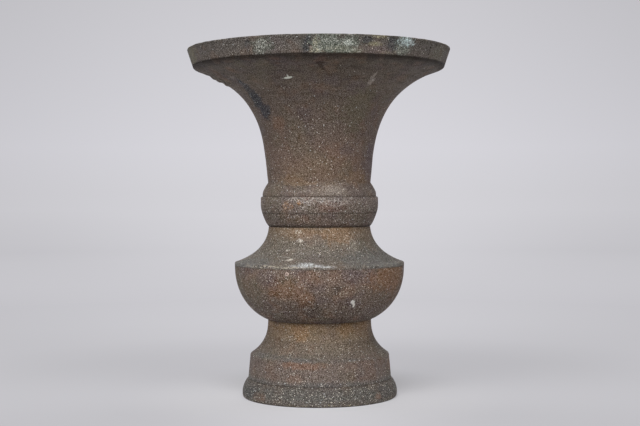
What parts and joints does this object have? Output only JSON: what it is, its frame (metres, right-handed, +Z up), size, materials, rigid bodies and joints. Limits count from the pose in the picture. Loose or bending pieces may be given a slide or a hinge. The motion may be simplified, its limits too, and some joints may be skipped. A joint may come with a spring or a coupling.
{
  "type": "metal vase",
  "caption": "Cast bronze beaker vase with a trumpet mouth, upright lip band, knopped neck, bowl-shaped belly and hollow waisted foot, for cut flowers.",
  "frame": {"origin": "centre of the base ring's underside, on the surface the vase stands on", "axes": "+Z up along the vase's axis of revolution; -Y is the front seen in the picture, with the band's opened seam to its right, towards +X"},
  "size_m": [0.1364, 0.1364, 0.18],
  "materials": {
    "lip_bronze": "cast bronze, dark brown with blue-green and chalky patina patches",
    "body_bronze": "cast bronze, sandy grain, brown to grey-olive with rust-brown stains, worn lighter on the arris and knop",
    "foot_bronze": "cast bronze, sandy grain, warm brown, greyer on the base ring",
    "pin_bronze": "drawn bronze pin, filed flush and patinated",
    "braze": "brazing brass, dull"
  },
  "bodies": {
    "root": {"base_ring": "foot_bronze", "base_braze": "braze", "foot": "foot_bronze", "floor_braze": "braze", "floor_plate": "body_bronze", "belly_bowl": "body_bronze", "shoulder_braze": "braze", "shoulder": "body_bronze", "shoulder_pin_1": "pin_bronze", "shoulder_pin_2": "pin_bronze", "shoulder_pin_3": "pin_bronze", "collar_braze": "braze", "knop_collar": "body_bronze", "neck_braze": "braze", "mouth_trumpet": "body_bronze", "lip_braze": "braze", "lip_band": "lip_bronze"}
  },
  "joints": []
}
